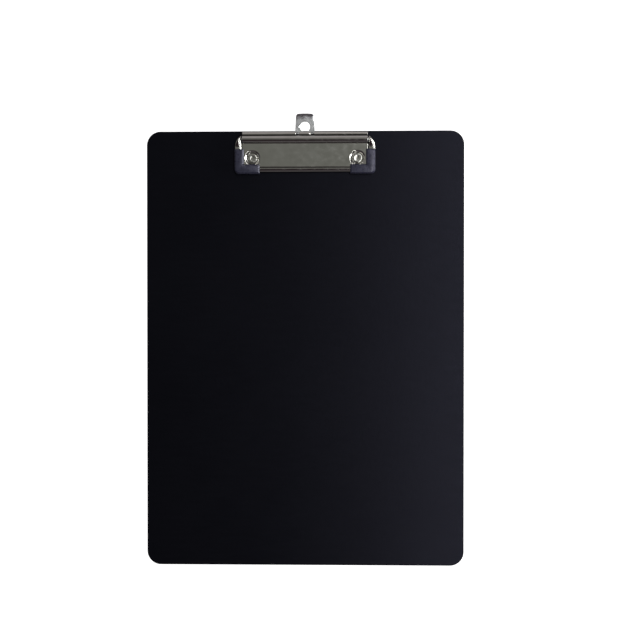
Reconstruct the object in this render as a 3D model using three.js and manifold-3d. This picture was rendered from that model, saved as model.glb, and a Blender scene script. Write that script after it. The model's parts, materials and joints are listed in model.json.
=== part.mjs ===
// A4 clipboard with a low-profile spring clip and a pull-out hanging tab.
// Millimetres. The board lies on its back at z = 0, with X to the right, Y towards the clip and Z up.
// The origin is the centre of the board's back face.
import * as THREE from 'three';
import { mergeVertices } from 'three/addons/utils/BufferGeometryUtils.js';
import Module from 'manifold-3d';

const wasm = await Module();
wasm.setup();

// Board
const BOARD_WIDTH = 230;
const BOARD_LENGTH = 315;
const BOARD_THICKNESS = 2.5;
const BOARD_CORNER_RADIUS = 10;

// Sheet steel and clearances
const SHEET = 0.7;
const SEAT_GAP = 0.1;
const RUNNING_GAP = 0.2;
const ARC_STEPS = 5;
const ROUND_STEPS = 32;

// Base plate. "Drop" is the distance below the board's top edge, seen from the front.
const PLATE_HALF_WIDTH = 45.4;
const FLANGE_DROP = 0.35;
const PLATE_FRONT_DROP = 26.7;
const PLATEAU_RISE = 1.3;
const BEAD_CREST_DROP = 2.5;
const BEAD_RISE = 1.55;
const BEAD_FRONT_REACH = 0.95;
const WINDOW_INNER_X = 4.1;
const WINDOW_OUTER_X = 6.6;
const WINDOW_BACK_DROP = 0.9;
const WINDOW_FRONT_DROP = 2.4;

// Hinge
const HINGE_DROP = 6.3;
const HINGE_RISE = 2.4;
const BARREL_RADIUS = 2.8;
const ROD_RADIUS = 1.1;
const ROD_HALF_LENGTH = 47.2;
const ROD_CHAMFER = 0.3;

// Rivets, each in a pressed dimple
const RIVET_X = 38;
const RIVET_DROP = 19.8;
const RIVET_SHANK_RADIUS = 1.9;
const RIVET_BORE_RADIUS = 1.15;
const RIVET_RING_RADIUS = 3.35;
const RIVET_RING_HEIGHT = 0.95;
const RIVET_ARC_STEPS = 4;
const RIVET_FLANGE_RADIUS = 3.6;
const RIVET_FLANGE_THICKNESS = 0.45;
const DIMPLE_RIM_RADIUS = 5.6;
const DIMPLE_FLOOR_RADIUS = 4.3;
const DIMPLE_WALL = 0.5;

// Hanging tab
const TAB_REACH = 12.4;
const TAB_ROOT_HALF_WIDTH = 7.05;
const TAB_TIP_HALF_WIDTH = 6.35;
const TAB_CORNER = 1.5;
const TAB_ARCH = 0.35;
const TAB_HOLE_RADIUS = 3.75;
const TAB_HOLE_RISE = 2.8;
const TAB_CURL_RADIUS = 7;
const TAB_CURL_ANGLE = THREE.MathUtils.degToRad(40);
const TAB_NOTCH_DROP = 1.7;
const TAB_NOTCH_HALF_LENGTH = 0.95;
const TAB_NECK_HALF_WIDTH = 4.1;
const FOOT_HALF_WIDTH = 10;
const FOOT_BACK_DROP = 4.4;
const FOOT_FRONT_DROP = 13;
const SLOT_HALF_WIDTH = 7.4;

// Jaw frame
const EAR_INNER_X = 46;
const EAR_RADIUS = 2.6;
const EAR_HEEL_RADIUS = 2.25;
const JAW_SHEET = 0.8;
const JAW_OUTER_X = 50.8;
const JAW_NECK_X = 49.7;
const SHOULDER_END_DROP = 10.9;
const SHOULDER_STEP_DROP = 13.15;
const SHOULDER_PULL_OUT = 1.4;
const SHOULDER_PULL_FORWARD = 0.9;
const SHOULDER_PULL_BACK = 3.7;
const ARM_RISE = 3.4;
const SLOPE_END_DROP = 12.2;
const SLOPE_EASE = 0.45;
const BAR_BACK_DROP = 27;
const BAR_FRONT_DROP = 30.2;
const BAR_ROLL_RADIUS = 2.8;
const JAW_CORNER_RADIUS = 2.2;

// Corner grips
const GRIP_INNER_X = 44.1;
const GRIP_END_X = 32.7;
const GRIP_TOP_DROP = 13.35;
const GRIP_LEG_DROP = 24.4;
const GRIP_FRONT_DROP = 31.2;
const GRIP_CORNER_RADIUS = 3.3;
const GRIP_SKIRT = 0.9;
const GRIP_TOP_THICKNESS = 1.4;
const GRIP_SKIRT_RISE = 0.5;

// Torsion springs
const WIRE_RADIUS = 0.4;
const COIL_RADIUS = 1.65;
const COIL_INNER_X = 38.5;
const COIL_OUTER_X = 43.6;
const COIL_TURNS = 4.75;
const COIL_STEPS_PER_TURN = 14;
const WIRE_STEPS = 4;
const SPRING_TAIL_X = 47.1;
const SPRING_LEG_DROP = 12.4;
const SPRING_LEG_STEPS = 4;
const SPRING_TAIL_STEPS = 3;

// Heights and places worked out from the dimensions above
const yAtDrop = (drop) => BOARD_LENGTH / 2 - drop;
const SEAT_Z = BOARD_THICKNESS + SEAT_GAP;
const PLATEAU_BOTTOM = BOARD_THICKNESS + PLATEAU_RISE;
const PLATEAU_TOP = PLATEAU_BOTTOM + SHEET;
const HINGE_Y = yAtDrop(HINGE_DROP);
const HINGE_Z = BOARD_THICKNESS + HINGE_RISE;
const RIVET_Y = yAtDrop(RIVET_DROP);
const TAB_BOTTOM = BOARD_THICKNESS + RUNNING_GAP;
const TAB_TOP = TAB_BOTTOM + SHEET;
const JAW_BOTTOM = SEAT_Z;
const ARM_TOP = BOARD_THICKNESS + ARM_RISE;
const GRIP_SEAT_Z = ARM_TOP + RUNNING_GAP;
// Reach of the cutting solids past what they cut, and the distance within which vertices are one
const WELL_BELOW = -5;
const WELL_ABOVE = 20;
const CUT_MARGIN = 1;
const WELD_DISTANCE = 1e-4;

// Booleans

function toSolid(geometry) {
  const bare = geometry.clone();
  bare.deleteAttribute('normal');
  bare.deleteAttribute('uv');
  const merged = mergeVertices(bare, WELD_DISTANCE);
  return new wasm.Manifold(new wasm.Mesh({
    numProp: 3,
    vertProperties: new Float32Array(merged.attributes.position.array),
    triVerts: new Uint32Array(merged.index.array),
  }));
}

function toGeometry(solid) {
  const mesh = solid.getMesh();
  const geometry = new THREE.BufferGeometry();
  geometry.setAttribute('position', new THREE.BufferAttribute(mesh.vertProperties, mesh.numProp));
  geometry.setIndex(new THREE.BufferAttribute(mesh.triVerts, 1));
  geometry.computeVertexNormals();
  return geometry;
}

// Building blocks

// Turns a side view drawn in (y, z) and extruded along z into one extruded along X.
const SIDE_VIEW = new THREE.Matrix4().set(
  0, 0, 1, 0,
  1, 0, 0, 0,
  0, 1, 0, 0,
  0, 0, 0, 1,
);

function extrudeSide(shape, fromX, toX) {
  const low = Math.min(fromX, toX);
  const depth = Math.abs(toX - fromX);
  const options = { depth, bevelEnabled: false, curveSegments: ARC_STEPS };
  const geometry = new THREE.ExtrudeGeometry(shape, options);
  return geometry.translate(0, 0, low).applyMatrix4(SIDE_VIEW);
}

function extrudePlan(shape, fromZ, toZ) {
  const options = { depth: toZ - fromZ, bevelEnabled: false, curveSegments: ARC_STEPS };
  return new THREE.ExtrudeGeometry(shape, options).translate(0, 0, fromZ);
}

function box(lowX, highX, lowY, highY, lowZ, highZ) {
  const geometry = new THREE.BoxGeometry(highX - lowX, highY - lowY, highZ - lowZ);
  return geometry.translate((lowX + highX) / 2, (lowY + highY) / 2, (lowZ + highZ) / 2);
}

function uprightCone(x, y, lowZ, highZ, lowRadius, highRadius) {
  const geometry = new THREE.CylinderGeometry(highRadius, lowRadius, highZ - lowZ, ROUND_STEPS);
  return geometry.rotateX(Math.PI / 2).translate(x, y, (lowZ + highZ) / 2);
}

function crossPin(fromX, toX, y, z, radius) {
  const geometry = new THREE.CylinderGeometry(radius, radius, Math.abs(toX - fromX), ROUND_STEPS);
  return geometry.rotateZ(Math.PI / 2).translate((fromX + toX) / 2, y, z);
}

// Board: a rounded sheet, drilled for the rivets and counterbored at the back for their flanges

function boardShape() {
  const right = BOARD_WIDTH / 2;
  const top = BOARD_LENGTH / 2;
  const radius = BOARD_CORNER_RADIUS;
  const shape = new THREE.Shape();
  shape.absarc(right - radius, top - radius, radius, 0, Math.PI / 2);
  shape.absarc(radius - right, top - radius, radius, Math.PI / 2, Math.PI);
  shape.absarc(radius - right, radius - top, radius, Math.PI, 1.5 * Math.PI);
  shape.absarc(right - radius, radius - top, radius, 1.5 * Math.PI, 2 * Math.PI);
  return shape;
}

function boardGeometry() {
  const holeRadius = RIVET_SHANK_RADIUS + RUNNING_GAP;
  const seatRadius = RIVET_FLANGE_RADIUS + RUNNING_GAP;
  const seatDepth = RIVET_FLANGE_THICKNESS + 2 * SEAT_GAP;
  let board = toSolid(extrudePlan(boardShape(), 0, BOARD_THICKNESS));
  for (const side of [-1, 1]) {
    const x = side * RIVET_X;
    board = board.subtract(toSolid(uprightCone(x, RIVET_Y, WELL_BELOW, WELL_ABOVE, holeRadius, holeRadius)));
    board = board.subtract(toSolid(uprightCone(x, RIVET_Y, WELL_BELOW, seatDepth, seatRadius, seatRadius)));
  }
  return toGeometry(board);
}

// Base plate: rear flange with a rolled bead, barrel over the hinge rod, raised plateau and a front lip

function basePlateSide() {
  const back = yAtDrop(FLANGE_DROP);
  const front = yAtDrop(PLATE_FRONT_DROP);
  const inner = BARREL_RADIUS - SHEET;
  const side = new THREE.Shape();
  side.moveTo(back, SEAT_Z);
  side.lineTo(back, SEAT_Z + SHEET);
  side.lineTo(HINGE_Y + BARREL_RADIUS, SEAT_Z + SHEET);
  side.absarc(HINGE_Y, HINGE_Z, BARREL_RADIUS, 0, Math.PI / 2);
  side.absarc(HINGE_Y, HINGE_Z, BARREL_RADIUS, Math.PI / 2, Math.PI);
  side.lineTo(HINGE_Y - BARREL_RADIUS, PLATEAU_TOP);
  side.lineTo(front, PLATEAU_TOP);
  side.lineTo(front, SEAT_Z);
  side.lineTo(front + SHEET, SEAT_Z);
  side.lineTo(front + SHEET, PLATEAU_BOTTOM);
  side.lineTo(HINGE_Y - inner, PLATEAU_BOTTOM);
  side.absarc(HINGE_Y, HINGE_Z, inner, Math.PI, Math.PI / 2, true);
  side.absarc(HINGE_Y, HINGE_Z, inner, Math.PI / 2, 0, true);
  side.lineTo(HINGE_Y + inner, SEAT_Z);
  return side;
}

function dimpleInto(plate, x) {
  const floorTop = SEAT_Z + SHEET;
  const slope = (DIMPLE_RIM_RADIUS - DIMPLE_FLOOR_RADIUS) / (PLATEAU_TOP - floorTop);
  const rimAbove = DIMPLE_RIM_RADIUS + slope * SHEET;
  const floorHole = RIVET_SHANK_RADIUS + RUNNING_GAP;
  const cup = uprightCone(x, RIVET_Y, SEAT_Z, PLATEAU_BOTTOM + SEAT_GAP,
    DIMPLE_FLOOR_RADIUS + DIMPLE_WALL, DIMPLE_RIM_RADIUS + DIMPLE_WALL);
  const dish = uprightCone(x, RIVET_Y, floorTop, PLATEAU_TOP + SHEET, DIMPLE_FLOOR_RADIUS, rimAbove);
  const hole = uprightCone(x, RIVET_Y, WELL_BELOW, WELL_ABOVE, floorHole, floorHole);
  return plate.add(toSolid(cup)).subtract(toSolid(dish)).subtract(toSolid(hole));
}

// The hem rolled over on the flange's back edge, which stands on the board: a long slope up from the
// back to the crest, and a steep one down to the barrel
function beadSolid() {
  const crest = yAtDrop(BEAD_CREST_DROP);
  const backReach = BEAD_CREST_DROP - FLANGE_DROP;
  const side = new THREE.Shape();
  side.absellipse(crest, SEAT_Z, backReach, BEAD_RISE, 0, Math.PI / 2);
  side.absellipse(crest, SEAT_Z, BEAD_FRONT_REACH, BEAD_RISE, Math.PI / 2, Math.PI);
  return toSolid(extrudeSide(side, -PLATE_HALF_WIDTH, PLATE_HALF_WIDTH));
}

// The hanging tab's way through the barrel's back wall and under the bead, and a window each side of it
function tabPassage() {
  const barrelBack = HINGE_Y + BARREL_RADIUS;
  const underBarrel = box(-SLOT_HALF_WIDTH, SLOT_HALF_WIDTH, HINGE_Y, barrelBack, 0, PLATEAU_BOTTOM);
  const underBead = box(-SLOT_HALF_WIDTH, SLOT_HALF_WIDTH, barrelBack, BOARD_LENGTH, 0, TAB_TOP + SEAT_GAP);
  const back = yAtDrop(WINDOW_BACK_DROP);
  const front = yAtDrop(WINDOW_FRONT_DROP);
  const rightWindow = box(WINDOW_INNER_X, WINDOW_OUTER_X, front, back, 0, WELL_ABOVE);
  const leftWindow = box(-WINDOW_OUTER_X, -WINDOW_INNER_X, front, back, 0, WELL_ABOVE);
  return toSolid(underBarrel).add(toSolid(underBead)).add(toSolid(rightWindow)).add(toSolid(leftWindow));
}

function basePlateGeometry() {
  let plate = toSolid(extrudeSide(basePlateSide(), -PLATE_HALF_WIDTH, PLATE_HALF_WIDTH)).add(beadSolid());
  plate = dimpleInto(plate, -RIVET_X);
  plate = dimpleInto(plate, RIVET_X);
  return toGeometry(plate.subtract(tabPassage()));
}

// Rivet: flange in the board's back, shank, and a rolled ring in the dimple, turned about Z

function rivetGeometry() {
  const ringBottom = SEAT_Z + SHEET + SEAT_GAP;
  const ringTop = ringBottom + RIVET_RING_HEIGHT;
  const ringBulge = RIVET_RING_HEIGHT / 2;
  const ringX = RIVET_RING_RADIUS - ringBulge;
  const profile = new THREE.Path();
  profile.moveTo(0, SEAT_GAP);
  profile.lineTo(RIVET_FLANGE_RADIUS, SEAT_GAP);
  profile.lineTo(RIVET_FLANGE_RADIUS, SEAT_GAP + RIVET_FLANGE_THICKNESS);
  profile.lineTo(RIVET_SHANK_RADIUS, SEAT_GAP + RIVET_FLANGE_THICKNESS);
  profile.lineTo(RIVET_SHANK_RADIUS, ringBottom);
  profile.lineTo(ringX, ringBottom);
  profile.absarc(ringX, ringBottom + ringBulge, ringBulge, -Math.PI / 2, Math.PI / 2);
  profile.lineTo(RIVET_BORE_RADIUS + ringBulge, ringTop);
  profile.lineTo(RIVET_BORE_RADIUS, ringTop - ringBulge);
  profile.lineTo(RIVET_BORE_RADIUS, BOARD_THICKNESS / 2);
  profile.lineTo(0, BOARD_THICKNESS / 2);
  const geometry = new THREE.LatheGeometry(profile.getPoints(RIVET_ARC_STEPS), ROUND_STEPS);
  return geometry.rotateX(Math.PI / 2);
}

// Hanging tab: a sheet strip with a curled tip, a hole, detent notches and a wide foot that stops it

function tabSide() {
  const foot = yAtDrop(FOOT_FRONT_DROP);
  const curlY = yAtDrop(-TAB_REACH) - TAB_CURL_RADIUS * Math.sin(TAB_CURL_ANGLE);
  const curlZ = TAB_BOTTOM + TAB_CURL_RADIUS;
  const straightDown = -Math.PI / 2;
  const curlEnd = straightDown + TAB_CURL_ANGLE;
  const side = new THREE.Shape();
  side.moveTo(foot, TAB_BOTTOM);
  side.absarc(curlY, curlZ, TAB_CURL_RADIUS, straightDown, curlEnd);
  side.absarc(curlY, curlZ, TAB_CURL_RADIUS - SHEET, curlEnd, straightDown, true);
  side.lineTo(foot, TAB_TOP);
  return side;
}

function tabPlan() {
  const tip = yAtDrop(-TAB_REACH);
  const tipSide = tip - TAB_ARCH;
  const tipHalf = TAB_TIP_HALF_WIDTH;
  const notchFront = yAtDrop(TAB_NOTCH_DROP + TAB_NOTCH_HALF_LENGTH);
  const notchBack = yAtDrop(TAB_NOTCH_DROP - TAB_NOTCH_HALF_LENGTH);
  const halfOutline = [
    [FOOT_HALF_WIDTH, yAtDrop(FOOT_FRONT_DROP)],
    [FOOT_HALF_WIDTH, yAtDrop(FOOT_BACK_DROP)],
    [TAB_ROOT_HALF_WIDTH, yAtDrop(FOOT_BACK_DROP)],
    [TAB_ROOT_HALF_WIDTH, notchFront],
    [TAB_NECK_HALF_WIDTH, notchFront],
    [TAB_NECK_HALF_WIDTH, notchBack],
    [TAB_ROOT_HALF_WIDTH, notchBack],
    [tipHalf, tipSide - TAB_CORNER],
  ];
  const plan = new THREE.Shape();
  plan.moveTo(0, yAtDrop(FOOT_FRONT_DROP));
  for (const [x, y] of halfOutline) plan.lineTo(x, y);
  plan.quadraticCurveTo(tipHalf, tipSide, tipHalf - TAB_CORNER, tipSide);
  plan.quadraticCurveTo(0, tip + TAB_ARCH, TAB_CORNER - tipHalf, tipSide);
  plan.quadraticCurveTo(-tipHalf, tipSide, -tipHalf, tipSide - TAB_CORNER);
  for (const [x, y] of halfOutline.reverse().slice(1)) plan.lineTo(-x, y);
  const hole = new THREE.Path();
  hole.absarc(0, yAtDrop(-TAB_HOLE_RISE), TAB_HOLE_RADIUS, 0, Math.PI);
  hole.absarc(0, yAtDrop(-TAB_HOLE_RISE), TAB_HOLE_RADIUS, Math.PI, 2 * Math.PI);
  plan.holes.push(hole);
  return plan;
}

function hangerTabGeometry() {
  const strip = toSolid(extrudeSide(tabSide(), -FOOT_HALF_WIDTH - SHEET, FOOT_HALF_WIDTH + SHEET));
  const outline = toSolid(extrudePlan(tabPlan(), 0, WELL_ABOVE));
  return toGeometry(strip.intersect(outline));
}

// Hinge rod: a plain steel rod with chamfered ends, along X

function hingeRodGeometry() {
  const shoulder = ROD_HALF_LENGTH - ROD_CHAMFER;
  const profile = [
    new THREE.Vector2(0, -ROD_HALF_LENGTH),
    new THREE.Vector2(ROD_RADIUS - ROD_CHAMFER, -ROD_HALF_LENGTH),
    new THREE.Vector2(ROD_RADIUS, -shoulder),
    new THREE.Vector2(ROD_RADIUS, shoulder),
    new THREE.Vector2(ROD_RADIUS - ROD_CHAMFER, ROD_HALF_LENGTH),
    new THREE.Vector2(0, ROD_HALF_LENGTH),
  ];
  return new THREE.LatheGeometry(profile, ROUND_STEPS).rotateZ(-Math.PI / 2);
}

// Torsion spring: a leg under the plateau, a coil round the rod and a tail hooked in the jaw's ear

function springPath(side) {
  const points = [];
  const legZ = HINGE_Z - COIL_RADIUS;
  for (let step = 0; step < SPRING_LEG_STEPS; step++) {
    const y = THREE.MathUtils.lerp(yAtDrop(SPRING_LEG_DROP), HINGE_Y, step / SPRING_LEG_STEPS);
    points.push(new THREE.Vector3(side * COIL_INNER_X, y, legZ));
  }
  const steps = Math.round(COIL_TURNS * COIL_STEPS_PER_TURN);
  for (let step = 0; step <= steps; step++) {
    const angle = -Math.PI / 2 + (2 * Math.PI * COIL_TURNS * step) / steps;
    const x = THREE.MathUtils.lerp(COIL_INNER_X, COIL_OUTER_X, step / steps);
    const y = HINGE_Y + COIL_RADIUS * Math.cos(angle);
    points.push(new THREE.Vector3(side * x, y, HINGE_Z + COIL_RADIUS * Math.sin(angle)));
  }
  for (let step = 1; step <= SPRING_TAIL_STEPS; step++) {
    const x = THREE.MathUtils.lerp(COIL_OUTER_X, SPRING_TAIL_X, step / SPRING_TAIL_STEPS);
    points.push(new THREE.Vector3(side * x, HINGE_Y - COIL_RADIUS, HINGE_Z));
  }
  return points;
}

function springGeometry(side) {
  const points = springPath(side);
  const section = new THREE.Shape();
  section.absarc(0, 0, WIRE_RADIUS, 0, 2 * Math.PI);
  const extrudePath = new THREE.CatmullRomCurve3(points);
  const options = { steps: points.length, curveSegments: WIRE_STEPS, bevelEnabled: false, extrudePath };
  return new THREE.ExtrudeGeometry(section, options);
}

// Jaw frame: two hollow arms with domed shoulders and hinge ears, joined by a bar rolled down to its lip

function armSide(inset, bottom) {
  const front = yAtDrop(BAR_FRONT_DROP);
  const slopeEnd = yAtDrop(SLOPE_END_DROP);
  const ease = (HINGE_Y - slopeEnd) * SLOPE_EASE;
  const earTop = HINGE_Z + EAR_RADIUS - inset;
  const armTop = ARM_TOP - inset;
  const rollY = front + BAR_ROLL_RADIUS;
  const rollZ = ARM_TOP - BAR_ROLL_RADIUS;
  const side = new THREE.Shape();
  side.moveTo(HINGE_Y, inset > 0 ? bottom : HINGE_Z);
  side.lineTo(HINGE_Y + EAR_RADIUS - inset, inset > 0 ? bottom : HINGE_Z);
  side.absarc(HINGE_Y, HINGE_Z, EAR_RADIUS - inset, 0, Math.PI / 2);
  side.bezierCurveTo(HINGE_Y - ease, earTop, slopeEnd + ease, armTop, slopeEnd, armTop);
  side.absarc(rollY, rollZ, BAR_ROLL_RADIUS - inset, Math.PI / 2, Math.PI);
  side.lineTo(front + inset, bottom);
  side.lineTo(HINGE_Y, bottom);
  return side;
}

function armPlan(side, inset) {
  const inner = side * (EAR_INNER_X + inset);
  const outer = side * (JAW_OUTER_X - inset);
  const neck = side * (JAW_NECK_X - inset);
  const front = yAtDrop(BAR_FRONT_DROP - inset);
  const corner = JAW_CORNER_RADIUS - inset;
  const back = HINGE_Y + EAR_RADIUS - inset;
  const pulledX = inner + side * SHOULDER_PULL_OUT;
  const pulledY = back - SHOULDER_PULL_FORWARD;
  const shoulderEnd = yAtDrop(SHOULDER_END_DROP);
  const step = yAtDrop(SHOULDER_STEP_DROP - inset);
  const plan = new THREE.Shape();
  plan.moveTo(inner, back);
  plan.bezierCurveTo(pulledX, pulledY, outer, shoulderEnd + SHOULDER_PULL_BACK, outer, shoulderEnd);
  plan.lineTo(outer, step);
  plan.lineTo(neck, step);
  plan.lineTo(neck, front + corner);
  plan.quadraticCurveTo(neck, front, neck - side * corner, front);
  plan.lineTo(inner, front);
  return plan;
}

function armSolid(side, inset) {
  const bottom = inset > 0 ? 0 : JAW_BOTTOM;
  const pastOuter = side * (JAW_OUTER_X + CUT_MARGIN);
  const profile = toSolid(extrudeSide(armSide(inset, bottom), side * EAR_INNER_X, pastOuter));
  return profile.intersect(toSolid(extrudePlan(armPlan(side, inset), WELL_BELOW, WELL_ABOVE)));
}

// The bar's outer form, or with an inset the hollow under it, which is open at the back.
function barSolid(inset, halfWidth) {
  const back = yAtDrop(BAR_BACK_DROP) + (inset > 0 ? CUT_MARGIN : 0);
  const front = yAtDrop(BAR_FRONT_DROP);
  const bottom = inset > 0 ? 0 : JAW_BOTTOM;
  const rollY = front + BAR_ROLL_RADIUS;
  const rollZ = ARM_TOP - BAR_ROLL_RADIUS;
  const side = new THREE.Shape();
  side.moveTo(back, bottom);
  side.lineTo(back, ARM_TOP - inset);
  side.absarc(rollY, rollZ, BAR_ROLL_RADIUS - inset, Math.PI / 2, Math.PI);
  side.lineTo(front + inset, bottom);
  return toSolid(extrudeSide(side, -halfWidth, halfWidth));
}

function earHeel(side) {
  const outerX = side * (EAR_INNER_X + JAW_SHEET);
  return toSolid(crossPin(side * EAR_INNER_X, outerX, HINGE_Y, HINGE_Z, EAR_HEEL_RADIUS));
}

function earHoles(side) {
  const fromX = side * (EAR_INNER_X - CUT_MARGIN);
  const toX = side * (EAR_INNER_X + JAW_SHEET + CUT_MARGIN);
  const rodHole = crossPin(fromX, toX, HINGE_Y, HINGE_Z, ROD_RADIUS + SEAT_GAP);
  const tailHole = crossPin(fromX, toX, HINGE_Y - COIL_RADIUS, HINGE_Z, WIRE_RADIUS + SEAT_GAP);
  return toSolid(rodHole).add(toSolid(tailHole));
}

function jawFrameGeometry() {
  let frame = barSolid(0, EAR_INNER_X + JAW_SHEET / 2);
  let hollow = barSolid(JAW_SHEET, EAR_INNER_X);
  for (const side of [-1, 1]) {
    frame = frame.add(armSolid(side, 0));
    hollow = hollow.add(armSolid(side, JAW_SHEET));
  }
  frame = frame.subtract(hollow);
  for (const side of [-1, 1]) frame = frame.add(earHeel(side)).subtract(earHoles(side));
  return toGeometry(frame);
}

// Corner grip: an L-shaped cover over a corner of the jaw, with a skirt down its outer sides

function gripPlan(side, inset, endX) {
  const outer = GRIP_CORNER_RADIUS - inset;
  const x = JAW_OUTER_X - inset;
  const front = yAtDrop(GRIP_FRONT_DROP - inset);
  const plan = new THREE.Shape();
  plan.moveTo(side * endX, front);
  plan.lineTo(side * (x - outer), front);
  plan.quadraticCurveTo(side * x, front, side * x, front + outer);
  plan.lineTo(side * x, yAtDrop(GRIP_TOP_DROP - inset));
  plan.lineTo(side * (GRIP_INNER_X - inset), yAtDrop(GRIP_TOP_DROP - inset));
  plan.lineTo(side * (GRIP_INNER_X - inset), yAtDrop(GRIP_LEG_DROP - inset));
  plan.lineTo(side * endX, yAtDrop(GRIP_LEG_DROP - inset));
  return plan;
}

function gripGeometry(side) {
  const skirtBottom = BOARD_THICKNESS + GRIP_SKIRT_RISE;
  const top = GRIP_SEAT_Z + GRIP_TOP_THICKNESS;
  const cover = toSolid(extrudePlan(gripPlan(side, 0, GRIP_END_X), skirtBottom, top));
  const inside = toSolid(extrudePlan(gripPlan(side, GRIP_SKIRT, GRIP_END_X - GRIP_SKIRT), 0, GRIP_SEAT_Z));
  return toGeometry(cover.subtract(inside));
}

// Materials

function finish(color, roughness, metalness) {
  return new THREE.MeshStandardMaterial({ color, roughness, metalness });
}

const blackBoard = finish(0x141519, 0.75, 0);
const platedSteel = finish(0xb9bab8, 0.18, 1);
const gripPlastic = finish(0x2b2d38, 0.4, 0);
const springSteel = finish(0x8c8d90, 0.35, 1);

// Assembly

function part(name, geometry, material) {
  const mesh = new THREE.Mesh(geometry, material);
  mesh.name = name;
  return mesh;
}

const clipboard = new THREE.Group();
clipboard.add(part('board', boardGeometry(), blackBoard));
clipboard.add(part('base_plate', basePlateGeometry(), platedSteel));
clipboard.add(part('hanger_tab', hangerTabGeometry(), platedSteel));
clipboard.add(part('jaw_frame', jawFrameGeometry(), platedSteel));

const hingeRod = part('hinge_rod', hingeRodGeometry(), springSteel);
hingeRod.position.set(0, HINGE_Y, HINGE_Z);
clipboard.add(hingeRod);

for (const [sideName, side] of [['left', -1], ['right', 1]]) {
  const rivet = part(`rivet_${sideName}`, rivetGeometry(), platedSteel);
  rivet.position.set(side * RIVET_X, RIVET_Y, 0);
  clipboard.add(rivet);
  clipboard.add(part(`torsion_spring_${sideName}`, springGeometry(side), springSteel));
  clipboard.add(part(`corner_grip_${sideName}`, gripGeometry(side), gripPlastic));
}

export default clipboard;
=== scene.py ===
import json
import math

import bmesh
import bpy
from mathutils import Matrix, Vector


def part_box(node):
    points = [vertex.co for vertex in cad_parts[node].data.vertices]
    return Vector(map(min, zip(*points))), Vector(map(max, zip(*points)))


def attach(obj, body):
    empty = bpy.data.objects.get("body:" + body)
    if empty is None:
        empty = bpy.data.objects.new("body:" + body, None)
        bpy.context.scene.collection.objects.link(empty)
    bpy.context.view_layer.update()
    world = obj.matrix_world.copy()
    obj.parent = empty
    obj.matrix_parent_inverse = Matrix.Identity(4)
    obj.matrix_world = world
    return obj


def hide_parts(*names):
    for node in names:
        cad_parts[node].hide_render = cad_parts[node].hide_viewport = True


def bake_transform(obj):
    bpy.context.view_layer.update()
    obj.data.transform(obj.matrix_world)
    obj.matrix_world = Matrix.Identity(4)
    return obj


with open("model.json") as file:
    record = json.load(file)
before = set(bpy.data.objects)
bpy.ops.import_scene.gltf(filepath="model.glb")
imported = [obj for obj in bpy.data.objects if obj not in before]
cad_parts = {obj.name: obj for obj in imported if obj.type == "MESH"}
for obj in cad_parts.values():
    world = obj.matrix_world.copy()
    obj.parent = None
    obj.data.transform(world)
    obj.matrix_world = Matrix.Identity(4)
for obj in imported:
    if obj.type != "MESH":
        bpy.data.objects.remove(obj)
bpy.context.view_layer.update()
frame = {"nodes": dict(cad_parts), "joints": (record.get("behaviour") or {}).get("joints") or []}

MM = 0.001
BASE = "board_and_clip"
JAW = "jaw"
HANGER = "hanger"

# Places taken from the frame
board_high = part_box("board")[1]
plate_low, plate_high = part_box("base_plate")
jaw_low, jaw_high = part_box("jaw_frame")
tab_low, tab_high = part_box("hanger_tab")
rod_low, rod_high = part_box("hinge_rod")
rivet_low, rivet_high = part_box("rivet_right")
grip_low, grip_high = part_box("corner_grip_right")
spring_low, spring_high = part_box("torsion_spring_right")
hinge_joint = next(joint for joint in frame["joints"] if joint["name"] == "jaw_hinge")

FACE_Z = board_high.z
TOP_EDGE = board_high.y
HINGE_Y, HINGE_Z = hinge_joint["pos_m"][1:]
RIVET_X = (rivet_low.x + rivet_high.x) / 2
RIVET_Y = (rivet_low.y + rivet_high.y) / 2

# Sheet steel
SHEET = 0.7 * MM
EDGE_BEVEL = 0.1 * MM

# Board
BOARD_CORNER_RADIUS = 10 * MM
BOARD_EDGE_RADIUS = 0.6 * MM
RIVET_HOLE_RADIUS = 2.1 * MM
COUNTERBORE_GAP = 0.2 * MM
COUNTERBORE_DEPTH = 0.65 * MM
DRILL_BOTTOM = -1 * MM
DRILL_TOP = 5 * MM
DRILL_STEPS = 48

# Base plate
BARREL_RADIUS = plate_high.z - HINGE_Z
SEAT_Z = plate_low.z
PLATEAU_Z = FACE_Z + 2.0 * MM
BEAD_CREST_Y = TOP_EDGE - 2.5 * MM
BEAD_RISE = 1.55 * MM
BEAD_FRONT_REACH = 0.95 * MM
BARREL_FOOT_RADIUS = 0.25 * MM
LIP_BEND_RADIUS = 0.85 * MM
DIMPLE_RIM_RADIUS = 5.6 * MM
DIMPLE_FLOOR_RADIUS = 4.1 * MM
DIMPLE_BEND_RADIUS = 0.55 * MM
DIMPLE_PATCH_HALF = 6 * MM
DIMPLE_PATCH_STEPS = 16

# The way left in the base plate for the hanging tab, and the windows beside the tab's neck
SLOT_HALF_WIDTH = 7.4 * MM
SLOT_SLOPE = 0.5 * MM
TAB_WAY_Z = FACE_Z + 1.0 * MM
TAB_CLEARANCE = 0.1 * MM
WINDOW_INNER_X = 4.1 * MM
WINDOW_OUTER_X = 6.6 * MM
WINDOW_BACK_Y = TOP_EDGE - 0.9 * MM
WINDOW_FRONT_Y = TOP_EDGE - 2.4 * MM

# Rivets
RIVET_FLANGE_THICKNESS = 0.45 * MM
RIVET_FLANGE_ROUND = 0.15 * MM
RIVET_SHANK_RADIUS = 1.9 * MM
RIVET_BORE_RADIUS = 1.15 * MM
RIVET_RING_RADIUS = 3.35 * MM
RIVET_SEAT_GAP = 0.05 * MM
RIVET_CROWN_SHIFT = 0.1 * MM
RIVET_CROWN_DROP = 0.03 * MM
RIVET_THROAT_SHARE = 0.9
RIVET_THROAT_DROP = 0.08 * MM
RIVET_STEPS = 64

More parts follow.
